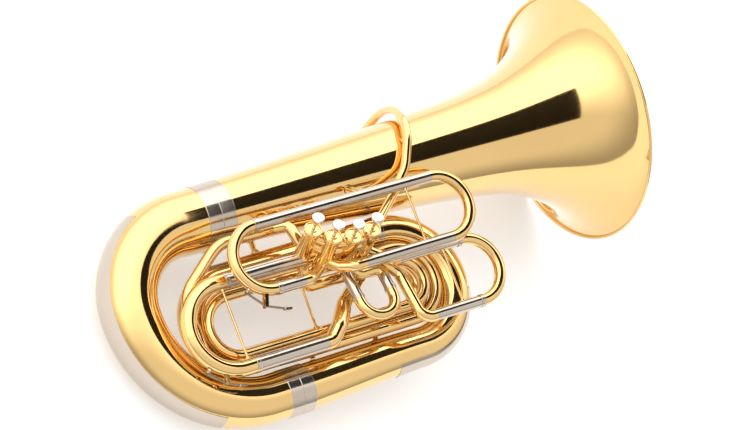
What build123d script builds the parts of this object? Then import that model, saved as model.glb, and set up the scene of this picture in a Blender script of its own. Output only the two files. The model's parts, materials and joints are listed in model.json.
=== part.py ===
from build123d import *
import math
import os

# Front-action four-valve tuba in a working frame, all in mm: X runs along the bell axis
# towards the bell mouth, the big bows lie in the plane z = 0, and the valves stand towards +Z.
# LAY_* turn and shift the finished object so that it lies on its back on the floor.

WALL = 0.8
FIT_GAP = 0.05
RUN_GAP = 0.05
BELL_PROFILE = [
    (239, 55.8), (264, 57.0), (321, 59.5), (440, 66.5), (568, 75), (640, 79.5), (704, 84.5),
    (750, 89), (783, 93.5), (829, 102.5), (870, 116), (905, 132), (935, 150), (960, 169.5),
    (980, 190), (992, 206), (1000, 221),
]
BELL_LENGTH = 1000.0
BELL_THROAT_X = 568.0
BELL_FLARE_X = 829.0
SEAM = 0.02
RIM_WIRE_R = 2.6

BRANCH_GAP = 317.5
BOW_APEX_X = 47.5
BOW_BELL_R = 132.0
BOW_FAR_R = 182.0
R_BELL_SIDE = 54.5
R_FAR_SIDE = 40.5
BELL_JOINT_X = 239.0
FAR_JOINT_X = 272.0
GUARD_T = 0.8
GUARD_HALF_ANGLE = 34.0

TOP_X = 530.0
TOP_Y = (-311.0, -105.0)
R_TOP = (34.0, 28.0)
INNER_X = 215.0
INNER_Y = (-105.0, -248.0)
R_INNER = (25.0, 22.0)
SMALL_X = 525.0
SMALL_Y = (-248.0, -160.0)
R_SMALL = (19.0, 17.0)

SLIDE_R = 13.5
MAIN_Y = (-122.0, -266.0)
MAIN_Z = 62.0
MAIN_CROOK_X = 176.0
MAIN_LEG_X = 200.0
MAIN_LEG_IN = 62.0

TUBE_R = 10.0
LOOP_R = 54.9
THIRD_Y = (-55.0, -165.0)
THIRD_Z = 105.0
THIRD_X = (256.0, 604.0)
THIRD_JOINT_X = 264.0
THIRD_LEG_IN = 42.0
FIRST_Y = (-169.0, -279.0)
FIRST_Z = 84.0
FIRST_X = 627.0
FIRST_JOINT_X = 620.0
FIRST_LEG_IN = 70.0
SECOND_R = 9.5
SECOND_X = (411.0, 474.0)

VALVE_TOPS = {4: (344, -92), 3: (375, -112), 2: (411, -120), 1: (448, -118)}
VALVE_Z = 132.0
VALVE_TILT = 20.0
CASING_R = 13.5
CASING_LENGTH = 84.0
CAP_R = 15.5
PISTON_R = 11.6
PISTON_LENGTH = 46.0
STROKE = 19.0
STEM_R = 2.6
STEM_HOLE_R = 3.2
STEM_OUT = 29.0
BUTTON_R = 10.5

LAY_ROLL = 5.125
LAY_PITCH = -9.700
SHIFT = (-511.949, 66.416, 53.207)


def vec(*xyz):
    return Vector(*xyz)


def rounded_wire(points, radii):
    """Polyline with each inner corner rounded to its own radius."""
    pts = [Vector(*p) for p in points]
    edges = []
    here = pts[0]
    for i in range(1, len(pts) - 1):
        u = (pts[i] - pts[i - 1]).normalized()
        v = (pts[i + 1] - pts[i]).normalized()
        turn = math.radians(u.get_angle(v))
        reach = radii[i - 1] * math.tan(turn / 2)
        start = pts[i] - u * reach
        end = pts[i] + v * reach
        inward = (v - u).normalized()
        middle = pts[i] + inward * (radii[i - 1] / math.cos(turn / 2) - radii[i - 1])
        if (start - here).length > 0.02:
            edges.append(Edge.make_line(here, start))
        edges.append(Edge.make_three_point_arc(start, middle, end))
        here = end
    if (pts[-1] - here).length > 0.02:
        edges.append(Edge.make_line(here, pts[-1]))
    return Wire(edges)


def pipe(points, radii, r_out, wall=WALL):
    """Tube of one radius along a rounded polyline; wall 0 gives a solid bar."""
    path = rounded_wire(points, radii)
    plane = Plane(origin=path @ 0, z_dir=path % 0)
    section = plane * Circle(r_out)
    solid = sweep(section, path=path)
    if wall:
        solid -= sweep(plane * Circle(r_out - wall), path=path)
    return solid


def bar(a, b, r):
    a = Vector(*a)
    b = Vector(*b)
    return Part() + Solid.make_cylinder(r, (b - a).length, Plane(origin=a, z_dir=(b - a)))


def group(solids):
    """Several separate solids as one node."""
    return Compound(list(solids))


def cone_solid(a, b, ra, rb):
    a = Vector(*a)
    b = Vector(*b)
    plane = Plane(origin=a, z_dir=(b - a))
    if abs(ra - rb) < 1e-6:
        return Part() + Solid.make_cylinder(ra, (b - a).length, plane)
    return Part() + Solid.make_cone(ra, rb, (b - a).length, plane)


def bend_solid(centre, radius, start, end, ra, rb):
    """Tapered bend in the z = centre z plane, from angle start to angle end in degrees."""
    cx, cy, cz = centre
    sections = []
    steps = 4
    for i in range(steps + 1):
        t = i / steps
        angle = math.radians(start + (end - start) * t)
        spot = Vector(cx + radius * math.cos(angle), cy + radius * math.sin(angle), cz)
        way = Vector(-math.sin(angle), math.cos(angle), 0) * math.copysign(1, end - start)
        sections.append(Plane(origin=spot, x_dir=(0, 0, 1), z_dir=way) * Circle(ra + (rb - ra) * t))
    spots = []
    for t in (0, 0.5, 1):
        angle = math.radians(start + (end - start) * t)
        spots.append(Vector(cx + radius * math.cos(angle), cy + radius * math.sin(angle), cz))
    arc = Wire([Edge.make_three_point_arc(*spots)])
    return sweep(sections, path=arc, multisection=True)


def shell(build, wall=WALL):
    """Hollow out a run of solids that build(offset) makes for a radius offset."""
    return build(0.0) - build(-wall)


def ring(a, b, ra, rb, thick, gap=FIT_GAP):
    return cone_solid(a, b, ra + thick, rb + thick) - cone_solid(a, b, ra + gap, rb + gap)


def valve_axis():
    tilt = math.radians(VALVE_TILT)
    return Vector(0, math.sin(tilt), math.cos(tilt))


def valve_point(number, down):
    """Point on a valve's axis, down mm below the top of its cap."""
    x, y = VALVE_TOPS[number]
    return Vector(x, y, VALVE_Z) - valve_axis() * down


def valve_at(number, z):
    x, y = VALVE_TOPS[number]
    return valve_point(number, (VALVE_Z - z) / valve_axis().Z)


def spot(v):
    return (v.X, v.Y, v.Z)


def wedge(centre, radius, start, end):
    """Outer sector of a bend, seen in its cross-section, turned along the bend."""
    half = math.radians(GUARD_HALF_ANGLE)
    reach = 80
    corner = (radius + reach * math.cos(half), reach * math.sin(half))
    plane = Plane.XZ
    face = plane * Polygon((radius, 0), corner, (corner[0], -corner[1]), align=None)
    turned = revolve(face, axis=Axis.Z, revolution_arc=end - start)
    return Pos(*centre) * Rot(0, 0, start) * turned


# ---------------------------------------------------------------- bell and big bows


def bell_section(x_start, x_end):
    """Turned sheet of the bell between two stations along its axis."""
    outer = Spline(*[(x, r) for x, r in BELL_PROFILE])
    inner = Spline(*[(x, r - WALL) for x, r in BELL_PROFILE])
    ends = Line(outer @ 0, inner @ 0) + Line(outer @ 1, inner @ 1)
    face = make_face(outer + inner + ends)
    face &= Pos((x_start + x_end) / 2, 150) * Rectangle(x_end - x_start, 400)
    return revolve(face, axis=Axis.X)


def bell_stem():
    return bell_section(BELL_PROFILE[0][0], BELL_THROAT_X - SEAM)


def bell_throat():
    return bell_section(BELL_THROAT_X, BELL_FLARE_X - SEAM)


def bell_flare():
    return bell_section(BELL_FLARE_X, BELL_LENGTH)


def bell_rim_wire():
    """Wire turned round the outside of the bell's edge."""
    x, r = BELL_PROFILE[-1]
    section = Pos(x - 1.2, r + 1.2) * Circle(RIM_WIRE_R)
    outer = Spline(*[(px, pr) for px, pr in BELL_PROFILE])
    x_low = BELL_PROFILE[0][0]
    sides = Line(outer @ 0, (x_low, 0)) + Line((x_low, 0), (x, 0)) + Line((x, 0), outer @ 1)
    section = section - make_face(outer + sides)
    return revolve(section, axis=Axis.X)


def bell_envelope():
    """Solid bell, closed to its axis, used to cut what sits against the bell."""
    outer = Spline(*[(x, r) for x, r in BELL_PROFILE])
    x0, x1 = BELL_PROFILE[0][0], BELL_PROFILE[-1][0]
    sides = Line(outer @ 0, (x0, 0)) + Line((x0, 0), (x1, 0)) + Line((x1, 0), outer @ 1)
    return revolve(make_face(outer + sides), axis=Axis.X)


def bell_ferrule():
    return ring((214, 0, 0), (238.9, 0, 0), 55.3, 55.8, 0.9) + ring((238.9, 0, 0), (264, 0, 0), 55.8, 57.0, 0.9)


def bow_run(offset):
    r0, r1 = R_BELL_SIDE, R_FAR_SIDE
    ra = r0 + (r1 - r0) * 0.42
    rb = ra + (r1 - r0) * 0.01
    c1 = (BOW_APEX_X + BOW_BELL_R, -BOW_BELL_R, 0)
    c2 = (BOW_APEX_X + BOW_FAR_R, BOW_FAR_R - BRANCH_GAP, 0)
    run = cone_solid((BELL_JOINT_X, 0, 0), (c1[0], 0, 0), 55.8 + offset, r0 + offset)
    run += bend_solid(c1, BOW_BELL_R, 90, 180, r0 + offset, ra + offset)
    run += cone_solid((BOW_APEX_X, c1[1], 0), (BOW_APEX_X, c2[1], 0), ra + offset, rb + offset)
    run += bend_solid(c2, BOW_FAR_R, 180, 270, rb + offset, r1 + offset)
    run += cone_solid((c2[0], -BRANCH_GAP, 0), (FAR_JOINT_X, -BRANCH_GAP, 0), r1 + offset, r1 + offset)
    return run


def bottom_bow():
    return shell(bow_run)


def bow_guard():
    plate = bow_run(FIT_GAP + GUARD_T) - bow_run(FIT_GAP)
    c1 = (BOW_APEX_X + BOW_BELL_R, -BOW_BELL_R, 0)
    c2 = (BOW_APEX_X + BOW_FAR_R, BOW_FAR_R - BRANCH_GAP, 0)
    return (plate & wedge(c1, BOW_BELL_R, 116, 180)) + (plate & wedge(c2, BOW_FAR_R, 179, 244))


def far_ferrule():
    return ring((249.2, -BRANCH_GAP, 0), (295.5, -BRANCH_GAP, 0), R_FAR_SIDE, R_FAR_SIDE, 0.9)


def second_run(offset):
    """Long cone that eases over from the bow's line to the top bow's."""
    along = Vector(1, 0, 0)
    start = Vector(FAR_JOINT_X + 0.1, -BRANCH_GAP, 0)
    end = Vector(TOP_X - 0.1, TOP_Y[0], 0)
    path = Wire([Edge.make_spline([start, end], tangents=[along, along])])
    first = Plane(origin=start, x_dir=(0, 0, 1), z_dir=along) * Circle(R_FAR_SIDE + offset)
    last = Plane(origin=end, x_dir=(0, 0, 1), z_dir=along) * Circle(R_TOP[0] + offset)
    return sweep([first, last], path=path, multisection=True)


def second_branch():
    return shell(second_run)


def top_run(offset):
    radius = (TOP_Y[1] - TOP_Y[0]) / 2
    centre = (TOP_X, TOP_Y[0] + radius, 0)
    return bend_solid(centre, radius, 270, 450, R_TOP[0] + offset, R_TOP[1] + offset)


def top_bow():
    return shell(top_run)


def top_bow_guard():
    radius = (TOP_Y[1] - TOP_Y[0]) / 2
    centre = (TOP_X, TOP_Y[0] + radius, 0)
    plate = top_run(FIT_GAP + GUARD_T) - top_run(FIT_GAP)
    return plate & wedge(centre, radius, 275, 345)


def top_ferrules():
    low = ring((521, -311.2, 0), (529.9, TOP_Y[0], 0), 34.3, 34.05, 1.4)
    high = ring((520, TOP_Y[1], 0), (529.9, TOP_Y[1], 0), 27.9, 28.0, 1.2)
    low -= second_run(FIT_GAP)
    return [low.solid(), high.solid()]


def branch_ferrules():
    """Nickel silver rings over the joints of the big tubes, each a solid of its own."""
    return group([bell_ferrule().solid(), far_ferrule().solid()] + top_ferrules())


def third_branch():
    def run(offset):
        return cone_solid((TOP_X, TOP_Y[1], 0), (INNER_X, INNER_Y[0], 0), R_TOP[1] + offset, R_INNER[0] + offset)
    return shell(run)


def inner_bow():
    radius = (INNER_Y[0] - INNER_Y[1]) / 2
    centre = (INNER_X, INNER_Y[0] - radius, 0)

    def run(offset):
        return bend_solid(centre, radius, 90, 270, R_INNER[0] + offset, R_INNER[1] + offset)
    return shell(run)


def fourth_branch():
    def run(offset):
        return cone_solid((INNER_X, INNER_Y[1], 0), (SMALL_X, SMALL_Y[0], 0), R_INNER[1] + offset, R_SMALL[0] + offset)
    return shell(run)


def small_top_bow():
    radius = (SMALL_Y[1] - SMALL_Y[0]) / 2
    centre = (SMALL_X, SMALL_Y[0] + radius, 0)

    def run(offset):
        return bend_solid(centre, radius, 270, 450, R_SMALL[0] + offset, R_SMALL[1] + offset)
    return shell(run)


def main_tail():
    """Curved pipe from the small top bow up to the main slide's lower sleeve."""
    start = (SMALL_X, SMALL_Y[1], 0)
    narrow = (478, SMALL_Y[1], 0)
    reducer = cone_solid(start, narrow, R_SMALL[1], 14.0) - cone_solid(start, narrow, R_SMALL[1] - WALL, 14 - WALL)
    points = [narrow, (456, -176, 7), (396, -212, 46), (364, -246, 62), (342, -266, 62), (330, -266, 62)]
    return reducer + pipe(points, [40, 40, 30, 16], 13.6)




def cut_by_valves(solid, *numbers):
    for number in numbers:
        low = valve_point(number, CASING_LENGTH + 30)
        solid -= bar(low, valve_point(number, -20), CASING_R + FIT_GAP)
        solid -= bar(low, valve_point(number, CASING_LENGTH - 6.1), CASING_R + 1 + FIT_GAP)
    return solid


def keep_one(solid):
    """Keep the largest piece of a cut pipe."""
    return Part() + max(solid.solids(), key=lambda piece: piece.volume)


# ---------------------------------------------------------------- main slide


def main_sleeves():
    upper = pipe([(MAIN_LEG_X, MAIN_Y[0], MAIN_Z), (344, MAIN_Y[0], MAIN_Z)], [], SLIDE_R)
    upper = keep_one(cut_by_valves(upper, 4))
    lower = pipe([(MAIN_LEG_X, MAIN_Y[1], MAIN_Z), (329.9, MAIN_Y[1], MAIN_Z)], [], SLIDE_R)
    return group([upper.solid(), lower.solid()])


def u_crook(x_open, x_bend, ys, z, r_out, bend_r):
    """Half-round crook opening towards x_open, its bend on the far side of x_bend."""
    side = -1 if x_bend < x_open else 1
    apex = x_bend + side * bend_r
    points = [(x_open, ys[0], z), (apex, ys[0], z), (apex, ys[1], z), (x_open, ys[1], z)]
    return pipe(points, [bend_r - 0.05, bend_r - 0.05], r_out)


def leg_pair(x_open, reach, ys, z, r_tube, clear=0.3):
    """Two inner slide legs with the ferrules that join them to their crook."""
    side = 1 if reach > 0 else -1
    pieces = []
    for y in ys:
        r = r_tube - WALL - RUN_GAP
        inner = bar((x_open - side * 8, y, z), (x_open + reach, y, z), r)
        inner -= bar((x_open - side * 9, y, z), (x_open + reach + side, y, z), r - 0.7)
        ferrule = bar((x_open - side * 8, y, z), (x_open - side * clear, y, z), r_tube + 1.1)
        ferrule -= bar((x_open - side * 9, y, z), (x_open - side * clear / 3, y, z), r)
        pieces.append((inner + ferrule).solid())
    return group(pieces)


def main_slide_crook():
    return u_crook(MAIN_LEG_X - 8.1, MAIN_CROOK_X, MAIN_Y, MAIN_Z, SLIDE_R, 72.0)


def main_slide_legs():
    return leg_pair(MAIN_LEG_X, MAIN_LEG_IN, MAIN_Y, MAIN_Z, SLIDE_R)


def stay(a, b, cuts, rod_r=2.2, foot_r=5.0, foot_t=1.6):
    """Round rod with a foot at each end; cuts are the tubes it is soldered to."""
    a = Vector(*a)
    b = Vector(*b)
    way = (b - a).normalized()
    rod = bar(a, b, rod_r)
    for tube_axis, tube_r, at in cuts:
        here = a if at == 0 else b
        out = way if at == 0 else way * -1
        foot = bar(here + out * (tube_r - 3), here + out * (tube_r + foot_t), foot_r)
        rod += foot
    for tube_axis, tube_r, at in cuts:
        here = a if at == 0 else b
        line = Vector(*tube_axis).normalized()
        rod -= bar(here - line * 40, here + line * 40, tube_r + FIT_GAP)
    return keep_one(rod)


def main_slide_brace():
    x = MAIN_LEG_X - 14.5
    ends = [((1, 0, 0), SLIDE_R, 0), ((1, 0, 0), SLIDE_R, 1)]
    return stay((x, MAIN_Y[0], MAIN_Z), (x, MAIN_Y[1], MAIN_Z), ends)


# ---------------------------------------------------------------- third valve loop


def third_tubes():
    top = pipe([(THIRD_JOINT_X, THIRD_Y[0], THIRD_Z), (THIRD_X[1], THIRD_Y[0], THIRD_Z)], [], TUBE_R)
    low = pipe([(THIRD_X[1], THIRD_Y[1], THIRD_Z), (428, THIRD_Y[1], THIRD_Z)], [], TUBE_R)
    left = pipe([(THIRD_JOINT_X, THIRD_Y[1], THIRD_Z), (308, THIRD_Y[1], THIRD_Z)], [], TUBE_R)
    return group([top.solid(), low.solid(), left.solid()])


def third_bends():
    right = u_crook(THIRD_X[1] + 0.1, THIRD_X[1] + 0.1, THIRD_Y, THIRD_Z, TUBE_R, 55.0)
    elbow = pipe([(427.9, -165, THIRD_Z), (408, -165, THIRD_Z), (390, -156, 88), spot(valve_at(3, 70))],
                 [18, 12], TUBE_R)
    rise = pipe([(308.1, -165, THIRD_Z), (320, -165, THIRD_Z), (352, -150, 84), spot(valve_at(3, 76))],
                [20, 16], TUBE_R)
    elbow = keep_one(cut_by_valves(elbow, 3))
    rise = keep_one(cut_by_valves(rise, 3))
    return group([right.solid(), elbow.solid(), rise.solid()])


def third_slide_crook():
    return u_crook(THIRD_JOINT_X - 8.1, THIRD_X[0] - 0.2, THIRD_Y, THIRD_Z, TUBE_R, 55.0)


def third_slide_legs():
    return leg_pair(THIRD_JOINT_X, THIRD_LEG_IN, THIRD_Y, THIRD_Z, TUBE_R)


# ---------------------------------------------------------------- first valve loop


def first_sleeves():
    top = pipe([(503, FIRST_Y[0], FIRST_Z), (FIRST_JOINT_X, FIRST_Y[0], FIRST_Z)], [], TUBE_R)
    low = pipe([(530, FIRST_Y[1], FIRST_Z), (FIRST_JOINT_X, FIRST_Y[1], FIRST_Z)], [], TUBE_R)
    return group([top.solid(), low.solid()])


def first_bends():
    top = pipe([(502.9, FIRST_Y[0], FIRST_Z), (487, FIRST_Y[0], FIRST_Z), spot(valve_at(1, 78))], [22], TUBE_R)
    low = pipe([(529.9, FIRST_Y[1], FIRST_Z), (506, FIRST_Y[1], FIRST_Z), (505, -192, 64), (478, -154, 60),
                spot(valve_at(1, 60))], [20, 20, 12], TUBE_R)
    top = keep_one(cut_by_valves(top, 1))
    low = keep_one(cut_by_valves(low, 1))
    return group([top.solid(), low.solid()])


def first_slide_crook():
    return u_crook(FIRST_JOINT_X + 8.1, FIRST_X + 1.3, FIRST_Y, FIRST_Z, TUBE_R, 55.0)


def first_slide_legs():
    return leg_pair(FIRST_JOINT_X, -FIRST_LEG_IN, FIRST_Y, FIRST_Z, TUBE_R)


# ---------------------------------------------------------------- second valve loop

SECOND_START = (-160.0, 62.0)
SECOND_SLOPE = 0.2
SECOND_SLEEVE = 50.0
SECOND_LEG_IN = 32.0
SECOND_SHORT_IN = 19.0
SECOND_DROP = 62.0


def second_way():
    return Vector(0, -1, SECOND_SLOPE).normalized()


def second_point(side, along):
    y, z = SECOND_START
    return Vector(SECOND_X[side], y, z) + second_way() * along


def second_sleeves():
    left = pipe([spot(second_point(0, -14)), spot(second_point(0, SECOND_SLEEVE))], [], SECOND_R)
    left = keep_one(cut_by_valves(left, 2))
    right = pipe([spot(second_point(1, 30.1)), spot(second_point(1, SECOND_SLEEVE))], [], SECOND_R)
    return group([left.solid(), right.solid()])


def second_bend():
    corner = second_point(1, 14)
    path = [spot(second_point(1, 30)), spot(corner), (436, corner.Y, 62), (424, -158, 61), spot(valve_at(2, 60))]
    return keep_one(cut_by_valves(pipe(path, [13, 10, 6], SECOND_R), 2))


def second_slide_crook():
    far = (SECOND_X[1] - SECOND_X[0]) / 2
    points = []
    for side, along in ((0, SECOND_SLEEVE + 6.1), (0, SECOND_DROP + far), (1, SECOND_DROP + far),
                        (1, SECOND_SLEEVE + 6.1)):
        points.append(spot(second_point(side, along)))
    return pipe(points, [far - 0.05, far - 0.05], SECOND_R)


def second_slide_legs():
    pieces = []
    r = SECOND_R - WALL - RUN_GAP
    for side, reach in ((0, SECOND_LEG_IN), (1, SECOND_SHORT_IN)):
        top = second_point(side, SECOND_SLEEVE - reach)
        leg = bar(top, second_point(side, SECOND_SLEEVE + 6), r)
        leg -= bar(second_point(side, SECOND_SLEEVE - reach - 1), second_point(side, SECOND_SLEEVE + 7), r - 0.7)
        ring_top = second_point(side, SECOND_SLEEVE + 0.3)
        ferrule = bar(ring_top, second_point(side, SECOND_SLEEVE + 6), SECOND_R + 1.0)
        ferrule -= bar(second_point(side, SECOND_SLEEVE), second_point(side, SECOND_SLEEVE + 7), r)
        pieces.append((leg + ferrule).solid())
    return group(pieces)


# ---------------------------------------------------------------- fourth valve loop


def fourth_outer_bend():
    points = [spot(valve_at(4, 80)), (344, -62, 58), (320, -58, 47), (215, -58, 46), (128, -125, 36),
              (128, -266.5, 36.5), (215, -266.5, 36.5)]
    return keep_one(cut_by_valves(pipe(points, [14, 14, 60, 60, 62], TUBE_R), 4))


def fourth_long_loop():
    points = [(215.1, -266.5, 36.5), (236, -266.5, 36.5), (300, -267, 27), (590, -267, 26), (590, -141, 26),
              (300, -141, 26), (262, -141, 34), (209, -141, 34)]
    return pipe(points, [90, 90, 62.9, 62.9, 60, 60], TUBE_R)


def fourth_inner_crook():
    return u_crook(208.9, 203, (-141, -243), 34, TUBE_R, 51.0)


def fourth_return():
    points = [(209, -243, 34), (564, -243, 34), (564, -165, 34), (345, -165, 34), (344, -143, 50),
              spot(valve_at(4, 62))]
    tube = cut_by_valves(pipe(points, [38.9, 38.9, 14, 12], TUBE_R), 4)
    sleeve = bar((MAIN_LEG_X, MAIN_Y[0], MAIN_Z), (350, MAIN_Y[0], MAIN_Z), SLIDE_R + FIT_GAP)
    return keep_one(tube - sleeve)


# ---------------------------------------------------------------- valves


def casing(number):
    tube = bar(valve_point(number, CASING_LENGTH - 6), valve_point(number, 8), CASING_R)
    return tube - bar(valve_point(number, CASING_LENGTH), valve_point(number, 0), PISTON_R + RUN_GAP)


def top_cap(number):
    cap = bar(valve_point(number, 7.9), valve_point(number, 0), CAP_R)
    cap -= bar(valve_point(number, 3), valve_point(number, -1), CAP_R - 3)
    cap += bar(valve_point(number, 5), valve_point(number, 0.6), 6.2)
    return cap - bar(valve_point(number, 9), valve_point(number, -1), STEM_HOLE_R)


def bottom_cap(number):
    cap = bar(valve_point(number, CASING_LENGTH), valve_point(number, CASING_LENGTH - 5.9), CASING_R + 1)
    cap -= bar(valve_point(number, CASING_LENGTH + 1), valve_point(number, CASING_LENGTH - 2), CASING_R - 3)
    return cap + bar(valve_point(number, CASING_LENGTH), valve_point(number, CASING_LENGTH - 3), 4)


def piston(number):
    top = 10.0
    body = bar(valve_point(number, top + PISTON_LENGTH), valve_point(number, top), PISTON_R)
    body -= bar(valve_point(number, top + PISTON_LENGTH + 1), valve_point(number, top + 2), PISTON_R - 1.2)
    stem = bar(valve_point(number, top + 1), valve_point(number, -STEM_OUT + 4.1), STEM_R)
    seat = bar(valve_point(number, -STEM_OUT + 5.1), valve_point(number, -STEM_OUT + 2.6), BUTTON_R - 1)
    return body + stem + seat


def button(number):
    disc = bar(valve_point(number, -STEM_OUT + 2.5), valve_point(number, -STEM_OUT - 2.5), BUTTON_R)
    return fillet(disc.edges(), 1.4)


def all_four(maker):
    return group([maker(number).solid() for number in VALVE_TOPS])


def valve_links():
    """Short tubes that carry the air from casing to casing, at two heights."""
    pieces = []
    for a, b in ((4, 3), (3, 2), (2, 1)):
        for down, r in ((20, 8.0), (40, 8.0)):
            link = bar(valve_point(a, down), valve_point(b, down), r)
            link -= bar(valve_point(a, down), valve_point(b, down), r - 1.2)
            link = keep_one(cut_by_valves(link, a, b))
            pieces.append(link.solid())
    return group(pieces)


# ---------------------------------------------------------------- leadpipe

LEAD_R = 7.8
LEAD_POINTS = [
    (482, -106, 95), (540, -62, 85), (578, -26, 88), (602, 22, 91), (612, 52, 85),
    (632, 93, 36), (632, 98, -20), (614, 80, -74),
]
RECEIVER_END = (597, 58, -112)
RECEIVER_LENGTH = 38.0
RECEIVER_BORE_R = 6.75
RECEIVER_BORE_DEPTH = 26.0


def receiver_way():
    return (Vector(*RECEIVER_END) - Vector(*LEAD_POINTS[-1])).normalized()


def leadpipe_run(r_out, wall):
    stop = Vector(*RECEIVER_END) - receiver_way() * RECEIVER_BORE_DEPTH
    points = [spot(valve_at(1, 104))] + LEAD_POINTS + [spot(stop)]
    return pipe(points, [30, 60, 60, 60, 30, 30, 34, 30], r_out, wall)


def leadpipe():
    return keep_one(cut_by_valves(leadpipe_run(LEAD_R, WALL), 1))


def receiver():
    end = Vector(*RECEIVER_END)
    way = receiver_way()
    body = bar(end - way * RECEIVER_LENGTH, end, 9.6) + bar(end - way * 6, end, 11.0)
    body -= bar(end - way * RECEIVER_BORE_DEPTH, end + way, RECEIVER_BORE_R)
    return body - bar(end - way * (RECEIVER_LENGTH + 1), end - way * RECEIVER_BORE_DEPTH, LEAD_R + FIT_GAP)


# ---------------------------------------------------------------- stays


def loop_stays():
    along = (1, 0, 0)
    pieces = [
        stay((552, THIRD_Y[0], THIRD_Z), (552, THIRD_Y[1], THIRD_Z), [(along, TUBE_R, 0), (along, TUBE_R, 1)]),
        stay((590, FIRST_Y[0], FIRST_Z), (590, FIRST_Y[1], FIRST_Z), [(along, TUBE_R, 0), (along, TUBE_R, 1)]),
        stay((300, -165, THIRD_Z), (338, -243, 34), [(along, TUBE_R, 0), (along, TUBE_R, 1)]),
        stay((575, -165, THIRD_Z), (575, -169, FIRST_Z), [(along, TUBE_R, 0), (along, TUBE_R, 1)], 4.0, 4.0, 0.1),
        stay((395, -243, 34), (395, -248, 0), [(along, TUBE_R, 0), (along, 20.6, 1)], 4.0, 4.0, 0.1),
        stay((450, -267, 26.5), (450, -248, 0), [(along, TUBE_R + 0.1, 0), (along, 20.3, 1)], 4.0, 4.0, 0.1),
        stay((480, -141, 26), (480, -105, 0), [(along, TUBE_R, 0), (along, 27.8, 1)], 4.0, 4.0, 0.1),
    ]
    return group([piece.solid() for piece in pieces])


def body_stays():
    along = (1, 0, 0)
    far = (530 - 272, 6.5, 0)
    pieces = []
    for x, bell_r, tube_r in ((300, 59.2, 26.2), (470, 68.9, 27.6)):
        pieces.append(stay((x, 0, 0), (x, TOP_Y[1], 0), [(along, bell_r, 0), (along, tube_r, 1)], 5.0, 8.0, 1.6))
    for x, y, tube_r, far_r in ((330, -316, 21.3, 39.5), (455, -313, 20.3, 36.5)):
        pieces.append(stay((x, -248, 0), (x, y, 0), [(along, tube_r, 0), (far, far_r, 1)], 5.0, 6.0, 0.8))
    pieces.append(stay((476, 0, 0), (476, THIRD_Y[0], THIRD_Z), [(along, 69.3, 0), (along, TUBE_R, 1)], 3.0, 9.0))
    lead = Vector(605, 30, 89.5)
    pieces.append(stay((605, 0, 0), spot(lead), [(along, 77.0, 0), ((10, 30, -3), LEAD_R - 0.5, 1)], 3.0, 6.0, 1.5))
    held = (leadpipe_run(LEAD_R + FIT_GAP, 0), bell_envelope(), second_run(FIT_GAP))
    return group([keep_one(piece - held[0] - held[1] - held[2]).solid() for piece in pieces])


# ---------------------------------------------------------------- water keys

THIRD_KEY = {"pivot": (226, -187), "pad": (203.5, -158), "tip": (262, -201), "bow": (255.75, -110)}
MAIN_KEY = {"pivot": (134, -281), "pad": (109, -257.5), "tip": (160, -292), "bow": (176, -194)}
KEY_TUBES = {"third": (55.0, TUBE_R, THIRD_Z), "main": (72.0, SLIDE_R, MAIN_Z)}


def key_frame(key, name):
    radius, r_tube, z = KEY_TUBES[name]
    centre = Vector(*key["bow"], z)
    return centre, radius, r_tube, z


def key_saddle(key, name):
    """Two ears with the pin between them, and the drain nipple, both soldered to the crook."""
    centre, radius, r_tube, z = key_frame(key, name)
    pivot = Vector(*key["pivot"], z)
    out = (pivot - centre).normalized()
    foot = centre + out * (radius + r_tube * 0.6)
    up = Vector(0, 0, 1)
    plane = Plane(origin=foot, x_dir=out, z_dir=up)
    length = (pivot - foot).length
    saddle = Part()
    for level in (4.1, -5.9):
        ear = plane * Pos(length / 2, 0, level + 0.9) * Box(length, 6, 1.8)
        ear += bar(pivot + up * level, pivot + up * (level + 1.8), 3.0)
        saddle += ear
    base = plane * Pos((r_tube * 0.4 + 1.5) / 2 + 0.4, 0, 0) * Box(r_tube * 0.4 + 2.2, 6, 11.8)
    saddle += base
    saddle += bar(pivot - up * 5.9, pivot + up * 5.9, 1.2)
    pad = Vector(*key["pad"], z)
    way = (pad - centre).normalized()
    nipple = bar(centre + way * (radius + r_tube - 3), centre + way * (radius + r_tube + 2.2), 3.4)
    nipple -= bar(centre + way * radius, centre + way * (radius + r_tube + 4), 2.0)
    hole = Pos(centre.X, centre.Y, z) * Torus(radius, r_tube + FIT_GAP)
    saddle = keep_one(saddle - hole)
    nipple = keep_one(nipple - hole)
    return group([saddle.solid(), nipple.solid()])


def key_lever(key, name):
    centre, radius, r_tube, z = key_frame(key, name)
    pivot = Vector(*key["pivot"], z)
    pad = Vector(*key["pad"], z)
    way = (pad - centre).normalized()
    cup = centre + way * (radius + r_tube + 4.2)
    lift = cup + way * 3.0
    tip = Vector(*key["tip"], z)
    arm = pipe([spot(lift), spot(pivot), spot(tip)], [16], 1.9, 0)
    plate = Box(16, 2.6, 9)
    plate = Pos(tip.X, tip.Y, z) * Rot(0, 0, -10) * fillet(plate.edges().filter_by(Axis.Y), 3.5)
    lever = arm + bar(cup, cup + way * 3.4, 4.6) + plate
    lever += bar(pivot - Vector(0, 0, 3.8), pivot + Vector(0, 0, 3.8), 2.9)
    return keep_one(lever - bar(pivot - Vector(0, 0, 7), pivot + Vector(0, 0, 7), 1.2 + RUN_GAP))


def key_cork(key, name):
    centre, radius, r_tube, z = key_frame(key, name)
    way = (Vector(*key["pad"], z) - centre).normalized()
    low = centre + way * (radius + r_tube + 2.3)
    return bar(low, low + way * 1.85, 4.0)


# ---------------------------------------------------------------- build


def lay_down(shape):
    turned = shape.rotate(Axis.X, LAY_ROLL).rotate(Axis.Y, LAY_PITCH)
    return turned.translate(SHIFT)


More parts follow.
